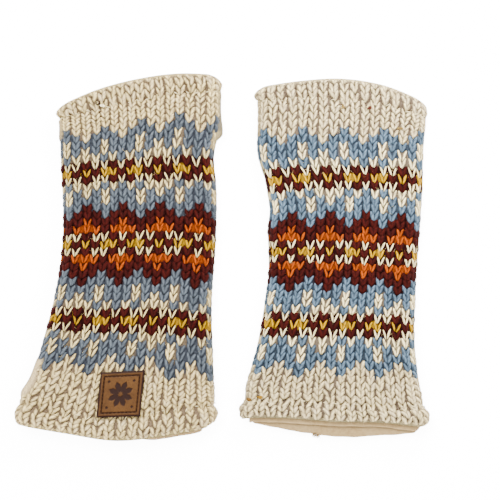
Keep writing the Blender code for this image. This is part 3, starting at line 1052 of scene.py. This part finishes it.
def gap_letter(mitt, row, wale):
    """The letter of the yarn in the gaps at a place, and whether that yarn fills them. Burgundy
    runs through its bands, apart from where a yarn fills the gaps between its own stitches."""
    around = [round(wale - mitt.first_wale + step) % WALES for step in (-0.6, 0, 0.6)]
    before, here, after = (stitch_letter(mitt, row, place) for place in around)
    filled = before == here == after and here in FILLING_YARNS
    if in_band(row) and not filled:
        return "B", False
    return here, filled


def smooth_strips(mitt, row, wale):
    """Where the smooth stretches are, 0 to 1, how far they swell out, and their colours."""
    flat, swell = np.zeros((2, *row.shape))
    colour = np.zeros((*row.shape, 3))
    for strip in STRIPS:
        if strip.mitt == mitt.name:
            away = np.abs(from_slit(wale - strip.fold))
            from_end = np.minimum(row - strip.low, strip.high - row)
            there = within((strip.half_width - away) / 0.4 + 0.5) * within(from_end / 0.6 + 0.5)
            flat = np.maximum(flat, there)
            bulge = strip.swell * bell(row - strip.low - 0.6, 1.2)
            swell = np.maximum(swell, there * bulge * MM)
            colour[there > 0] = strip.colour
    return flat, swell, colour


def ground(mitt, centre):
    """The ground behind the stitches: the knit's loose strands, seen as dark gaps between them.
    Their darkness is painted shade.
    """
    rows = np.arange(*GROUND_ROWS, 1 / GROUND_STEPS)
    wales = around_tube(WALES * GROUND_STEPS)
    row, wale = np.meshgrid(rows, wales, indexing="ij")
    from_edge = np.maximum(np.minimum(row, ROWS - row), 0)
    at_fold = within(GROUND_FOLD_WALES - from_fold(wale))
    depth = blend(GROUND_DEPTH, GROUND_DEPTH_AT_FOLD, at_fold)
    depth = np.where(from_edge < 0.5, GROUND_DEPTH_AT_EDGE, depth)
    flat, swell, flat_colour = smooth_strips(mitt, row, wale)
    depth = blend(depth, STRIP_DEPTH, flat) - swell
    points, looks = cloth(mitt, row, parted(mitt, row, wale, SLIT_HALF), depth)
    numbers = seam_grid(slit_opening(mitt, rows) > 0.01, len(rows), len(wales) - 1)
    faces = quads_between(numbers)
    mesh = new_mesh(f"{mitt.name}_knit_ground", points, [faces[:, :: -mitt.thumb]])
    rim = np.maximum(1.3 - from_edge / 0.6, GROUND_PALE_AT_FOLD * at_fold)
    rim = np.clip(rim, 0, GROUND_PALE)
    at_rows = np.floor(rows - 0.15).astype(int)
    colours = np.empty((*row.shape, 3))
    for i, j in np.ndindex(row.shape):
        key, filled = gap_letter(mitt, at_rows[i], wales[j])
        share = max(rim[i, j], GROUND_FILLED if filled else 0)
        # From the yarn's colour in painted shade towards its own colour, at the rims and where it
        # fills
        colours[i, j] = blend(mitt.yarns[key].gap, mitt.yarns[key].colour, share)
    colours = blend(colours, flat_colour, flat[..., None])
    # Painted shade and a dark outline where the ground turns down to the surface it lies on
    colours *= 1 - TURNED_SHADE * turned_down(looks)[..., None]
    keep_colours(mesh, "ground", colours)
    wool = coloured_material(f"{mitt.name}_ground_wool", "ground", 0.5 * MM)
    return put(mesh, wool, centre)


def fuzz(mitt, centre, material):
    """Fibres that stand off the yarn, in its own colours."""
    row = chance.uniform(0, ROWS, FIBRES)
    on_front = chance.random(FIBRES) < FIBRES_ON_FRONT
    over, under = chance.uniform(-0.5, HALF + 0.5, FIBRES), chance.uniform(HALF, WALES, FIBRES)
    wale = np.where(on_front, over, under) % WALES
    keep = slit_opening(mitt, row) * (np.abs(from_slit(wale)) < 0.8) < 0.01
    row, wale = row[keep], wale[keep]
    roots, looks = cloth(mitt, row, wale, FIBRE_ROOT)
    first = looks * 0.5 + chance.normal(0, 0.8, roots.shape)
    second = looks * -0.1 + first * 0.5 + chance.normal(0, 0.8, roots.shape)
    for way in (first, second):
        way[:, 2] = np.where(looks[:, 2] < -0.2, np.abs(way[:, 2]), way[:, 2])
    length = chance.uniform(*FIBRE_LENGTH, len(row))
    mesh = fibre_mesh(f"{mitt.name}_fuzz", roots, first, second, length, FIBRE_RADIUS)
    near = np.rint(wale - mitt.first_wale).astype(int) % WALES
    places = zip(np.floor(row).astype(int), near)
    keep_colours(mesh, "fuzz", [mitt.yarns[stitch_letter(mitt, *place)].colour for place in places])
    return put(mesh, material, centre)


def hem_thread(mitt, centre, material, seam_row, name):
    """The thread that sews a hem: short slanted stitches along the line that it is sewn at."""
    start = np.arange(WALES) + chance.normal(0, 0.08, WALES)
    share = np.linspace(0, 1, 5)
    towards_edge = -1 if seam_row < ROWS / 2 else 1
    slant = chance.uniform(-0.1, 0.38, WALES)[:, None]
    rows = seam_row + towards_edge * (slant * share - 0.12)
    rows = rows + 0.04 * chance.normal(0, 1, (WALES, 1))
    reach = chance.uniform(0.2, 0.5, WALES)[:, None]
    mesh = bowed_strands(mitt, f"{name}_thread", rows, start[:, None] + reach * share, THREAD_BOW)
    return put(mesh, material, centre)


def flecks(mitt, centre, material):
    """The curls of other colours."""
    mine = [fleck for fleck in FLECKS if fleck.mitt == mitt.name for _ in range(CURLS_IN_FLECK)]
    each = (len(mine), 1)
    share = np.linspace(0, 1, 6)
    turn = chance.uniform(0, 2 * math.pi, each) + chance.uniform(1.5, 3.5, each) * share
    reach = chance.uniform(0.08, 0.22, each)
    rows = column(mine, "row")[:, None] + chance.normal(0, 0.08, each) + reach * np.cos(turn)
    wales = column(mine, "wale")[:, None] + chance.normal(0, 0.08, each) + reach * np.sin(turn)
    mesh = bowed_strands(mitt, "flecks", rows, wales, FLECK_BOW)
    keep_colours(mesh, "fuzz", column(mine, "colour"))
    return put(mesh, material, centre)


# The fleece


def ripple(points, size, seed):
    """A soft, uneven ripple over points, from about -1 to 1, made of a few crossed waves."""
    turns = np.random.default_rng(seed)
    total = np.zeros(points.shape[:-1])
    for _ in range(7):
        direction = unit(turns.normal(0, 1, 3)) * 2 * math.pi / (size * turns.uniform(0.6, 1.5))
        total += np.sin(points @ direction + turns.uniform(0, 2 * math.pi))
    return total / 4


def over_the_fleece(mitt, row, wale):
    """Points of the knit's outer face, drawn out past the wrist as far as the fleece reaches."""
    past = np.maximum(1 - row / LIP_ROWS, 0)
    points = outer_face(mitt, row, wale, past)
    points[:, 1] += LIP_WAVE * past * ripple(points, LIP_WAVE_WIDTH, 9)
    return points


def lining_face(mitt, rows, wales, into):
    """One face of the fleece tube: rings of points a distance into the mitt past the knit."""
    row, wale = np.meshgrid(rows, wales, indexing="ij")
    shape = row.shape
    wale = parted(mitt, row, wale, LINING_SLIT_HALF).ravel()
    row = row.ravel()
    facing, _ = directions(mitt, row, wale)
    depth = level(row, "wall") + LINING_GAP + into
    if mitt is RIGHT:
        depth = depth + FLEECE_SEAM_SINK * bell(wale - FLEECE_SEAM_WALE, FLEECE_SEAM_HALF)
    points = over_the_fleece(mitt, row, wale) - facing * depth[:, None]
    lumps = sum(ripple(points, lump.width, lump.seed) * lump.height for lump in FLEECE_LUMPS)
    return (points + facing * lumps[:, None]).reshape(*shape, 3)


def lining(mitt, centre, material):
    """The fleece tube: outer face, rolled lip at the wrist, inner face and its end at the hem."""
    rows = np.concatenate([np.arange(0, 1.6, 0.15), [1.9, 2.3, 3, 3.8], np.arange(4.6, 44.1, 0.8)])
    wales = around_tube(WALES * LINING_STEPS)
    open_rows = slit_opening(mitt, rows) > 0.01
    outer = lining_face(mitt, rows, wales, 0.0)
    inner = lining_face(mitt, rows, wales, LINING_WALL)
    roll = []
    for turn in (0.25, 0.5, 0.75):
        rim = blend(outer[0], inner[0], turn)
        rim[:, 1] -= LINING_WALL * LIP_ROLL * math.sin(math.pi * turn)
        roll.append(rim)
    top = (outer[-1] + inner[-1]) / 2 + np.array([0, 0.5 * MM, 0])
    rings = np.concatenate([outer[::-1], roll, inner, [top]])
    opened = np.concatenate([open_rows[::-1], [False] * len(roll), open_rows, [False]])
    numbers = seam_grid(opened, len(rings), len(wales) - 1)
    faces = [quads_between(np.concatenate([numbers, numbers[:1]]))]
    outside = numbers[: len(rows)][::-1]
    inside = numbers[len(rows) + len(roll) :]
    for i in range(len(rows) - 1):
        if open_rows[i] or open_rows[i + 1]:
            far, near = outside[i], outside[i + 1]
            faces.append(np.array([[near[0], far[0], inside[i][0], inside[i + 1][0]]]))
            faces.append(np.array([[far[-1], near[-1], inside[i + 1][-1], inside[i][-1]]]))
    mesh = new_mesh(f"{mitt.name}_fleece_cloth", rings, [part[:, :: mitt.thumb] for part in faces])
    # How far it turns down, for its painted shade and dark outline at the edges
    normals = np.array([normal.vector for normal in mesh.vertex_normals])
    keep_on_points(mesh, "turned", turned_down(normals))
    return put(mesh, material, centre)


def nap(mitt, centre, material):
    """Short fibres on the parts of the fleece that show: its lips at the wrist and the back."""
    row = chance.uniform(0, 1, NAP_FIBRES) ** 1.4 * NAP_ROWS
    wale = chance.uniform(0, WALES, NAP_FIBRES)
    in_tuft = (np.arange(NAP_FIBRES) < TUFT_FIBRES) & (mitt is RIGHT)
    row = np.where(in_tuft, 0.1 * row / NAP_ROWS, row)
    wale = np.where(in_tuft, FLEECE_SEAM_WALE + 0.3 + 0.6 * (wale / WALES - 0.5), wale)
    inside = chance.random(NAP_FIBRES) < 0.5
    points = over_the_fleece(mitt, row, wale)
    facing, up = directions(mitt, row, wale)
    wall = np.where(inside, LINING_WALL - NAP_ROOT, NAP_ROOT)
    roots = points - facing * (level(row, "wall") + LINING_GAP + wall)[:, None]
    outward = facing * np.where(inside, -1, 1)[:, None] - up * (0.8 * (row < 0.3))[:, None]
    first = outward + chance.normal(0, 0.5, roots.shape)
    second = first * 0.3 + chance.normal(0, 0.9, roots.shape)
    first = np.where(in_tuft[:, None], 0.4 * first - 1.2 * up, first)
    second = np.where(in_tuft[:, None], 0.5 * second - 0.6 * up, second)
    length = chance.uniform(*NAP_LENGTH, NAP_FIBRES) * np.where(in_tuft, 1.7, 1.0)
    mesh = fibre_mesh(f"{mitt.name}_fleece_nap", roots, first, second, length, NAP_RADIUS)
    return put(mesh, material, centre)


# The patch


def patch_place(across, up):
    """Where a share of the patch's width and height lies, seen from above, from its left mitt."""
    top_left, top_right, low_right, low_left = np.array(PATCH_CORNERS) * MM
    across, up = np.asarray(across)[..., None], np.asarray(up)[..., None]
    return blend(blend(low_left, low_right, across), blend(top_left, top_right, across), up)


def star(x, y):
    """How deep a general eight-pointed knitting star is pressed at points, 0 to 1. x and y are
    measured from its middle in star radii."""
    radius = np.hypot(x, y)
    turn = np.mod(np.arctan2(y, x), math.pi / 4) - math.pi / 8
    sideways, outward = radius * np.abs(np.sin(turn)), radius * np.cos(turn)
    half = np.minimum(outward - 0.12, (1.0 - outward) * 0.75)
    return within((np.minimum(half, 0.2) - sideways) / STAR_SOFTNESS + 0.5) * (radius < 1)


def patch_relief(across, up):
    """How burnt the patch is, 0 to 1, and how far it is pressed in, at shares of its sides."""
    x, y = (across - 0.5) * PATCH_SIDE, (up - 0.5) * PATCH_SIDE
    to_edge = PATCH_SIDE / 2 - np.maximum(np.abs(x), np.abs(y))
    edge = within(1 - to_edge / PATCH_ROUND)
    line = bell(to_edge - PATCH_STITCH_INSET, LINE_HALF_WIDTH)
    marks = star(x / STAR_RADIUS, y / STAR_RADIUS)
    for dot in STAR_DOTS:
        far = (np.abs(x - dot.x * MM) + np.abs(y - dot.y * MM)) / DOT_RADIUS
        marks = np.maximum(marks, within((1 - far) / 0.3))
    burnt = within(np.maximum(edge * 1.9, marks) + 0.9 * line)
    pressed = STAR_DEPTH * marks + LINE_DEPTH * (line + edge**2)
    return within(burnt + 0.15 * (to_edge < PATCH_STITCH_INSET)), pressed


def patch(centre, material):
    """The leather patch, rounded at its edges, with a pressed line and a pressed star."""
    size = PATCH_CELLS + 1
    across, up = np.meshgrid(np.linspace(0, 1, size), np.linspace(0, 1, size))
    plan = patch_place(across, up) + centre[:2]
    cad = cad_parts["left_leather_patch"].data
    corners = [tuple(face.vertices) for face in cad.polygons]
    solid = BVHTree.FromPolygons([vertex.co for vertex in cad.vertices], corners)
    flat_plan = plan.reshape(-1, 2)
    heights = [
        [solid.ray_cast((x, y, -way), (0, 0, way))[0].z for way in (1, -1)]
        for x, y in blend(flat_plan.mean(axis=0), flat_plan, PATCH_READ)
    ]
    low, high = np.array(heights).T.reshape(2, size, size)
    burnt, pressed = patch_relief(across, up)
    top, bottom = np.dstack([plan, high - pressed]), np.dstack([plan, low])
    numbers = np.arange(size * size).reshape(size, size)
    face = quads_between(numbers)
    rim = np.concatenate([numbers[0], numbers[1:, -1], numbers[-1, -2::-1], numbers[-2:0:-1, 0]])
    after = np.roll(rim, -1)
    under = size * size
    sides = np.stack([after, after + under, rim + under, rim], axis=-1)
    points = np.concatenate([top.reshape(-1, 3), bottom.reshape(-1, 3)])
    mesh = new_mesh("left_leather_patch_leather", points, [face, face[:, ::-1] + under, sides])
    keep_on_points(mesh, "burnt", np.concatenate([burnt.ravel(), np.full(under, 0.9)]))
    return put(mesh, material, (0, 0, 0)), (plan, high)


def patch_thread(spread, material):
    """The running stitch round the patch, in the pressed line."""
    plan, high = spread
    inset = PATCH_STITCH_INSET / PATCH_SIDE
    share = np.linspace(0, 1, 5)
    along = PATCH_STITCH_SHARE * share + (1 - PATCH_STITCH_SHARE) / 2
    steps = (np.arange(PATCH_STITCHES)[:, None] + along) / PATCH_STITCHES
    run = blend(inset, 1 - inset, steps)
    low, far = np.full_like(run, inset), np.full_like(run, 1 - inset)
    across = np.concatenate([run, far, run, low])
    up = np.concatenate([low, run, far, run])
    at_row, at_column = (np.rint(place * PATCH_CELLS).astype(int) for place in (up, across))
    out = np.sin(math.pi * share)
    height = high[at_row, at_column] - PATCH_STITCH_SINK + PATCH_STITCH_RISE * out
    flat = patch_place(across, up) + (plan[0, 0] - patch_place(0.0, 0.0))
    path = np.dstack([flat, height])
    facing = np.broadcast_to((0.0, 0.0, 1.0), path.shape)
    size = np.full(across.shape, PATCH_STITCH_RADIUS)
    size[:, [0, -1]] *= 0.6
    mesh = strand_mesh("left_patch_thread", path, facing, size, size, THREAD_SIDES)
    return put(mesh, material, (0, 0, 0))


# The picture


def floor_and_light():
    mesh = bpy.data.meshes.new("floor")
    corners = [(-1, -1), (1, -1), (1, 1), (-1, 1)]
    mesh.from_pydata([(x * FLOOR_REACH, y * FLOOR_REACH, 0) for x, y in corners], [], [range(4)])
    floor = show("floor", mesh)
    floor.location.z = -0.2 * MM
    white, _, surface = new_material("floor", 0.9)
    surface.inputs["Base Color"].default_value = (0.93, 0.93, 0.93, 1)
    surface.inputs["Emission Color"].default_value = (1.0, 1.0, 1.0, 1)
    surface.inputs["Emission Strength"].default_value = FLOOR_GLOW
    mesh.materials.append(white)
    world = bpy.data.worlds.new("soft_light")
    bpy.context.scene.world = world
    world.use_nodes = True
    background = world.node_tree.nodes["Background"]
    background.inputs["Color"].default_value = (1.0, 1.0, 1.0, 1)
    background.inputs["Strength"].default_value = WORLD_LIGHT
    for lamp in LAMPS:
        light = bpy.data.lights.new(lamp.name, "AREA")
        light.shape = "DISK"
        light.size = lamp.width
        light.energy = lamp.power
        shown = show(lamp.name, light)
        shown.location = lamp.place
        shown.rotation_euler = (-shown.location).to_track_quat("-Z", "Y").to_euler()


def camera():
    """Straight above the pair, from far off, with the fingers up."""
    made = bpy.data.cameras.new("camera")
    made.sensor_width = SENSOR_WIDTH
    made.lens = (CAMERA_HEIGHT - IN_FOCUS) * SENSOR_WIDTH / VIEW_WIDTH
    shown = show("camera", made)
    shown.location = (*VIEW_CENTRE, CAMERA_HEIGHT)
    bpy.context.scene.camera = shown


def main():
    camera()
    floor_and_light()
    fleece = fleece_material()
    fuzz_wool = coloured_material("fuzz_wool", "fuzz", 0.05 * MM)
    thread = yarn_material("hem_thread", THREAD, THREAD_SHADE, False)
    for mitt in (LEFT, RIGHT):
        centre = settled(mitt)
        wools = {
            key: yarn_material(f"{mitt.name}_{yarn.name}_wool", yarn.colour, yarn.gap, key == "C")
            for key, yarn in mitt.yarns.items()
        }
        base = ground(mitt, centre)
        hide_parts(f"{mitt.name}_knit_tube")
        on_it = stitches(mitt, centre, wools)
        on_it.append(fuzz(mitt, centre, fuzz_wool))
        on_it.append(flecks(mitt, centre, fuzz_wool))
        on_it.append(hem_thread(mitt, centre, thread, SEAM_ROWS, "wrist_hem"))
        on_it.append(hem_thread(mitt, centre, thread, ROWS - SEAM_ROWS, "finger_hem"))
        fleece_cloth = lining(mitt, centre, fleece)
        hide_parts(f"{mitt.name}_fleece_lining")
        hairs = nap(mitt, centre, fleece)
        if mitt is LEFT:
            leather, spread = patch(centre, leather_material())
            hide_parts("left_leather_patch")
            # The patch thread's painted shade, at its sides and in its grooves, is the burnt
            # leather's colour
            patch_thread(spread, yarn_material("patch_thread", PATCH_THREAD, LEATHER_BURNT, False))


main()
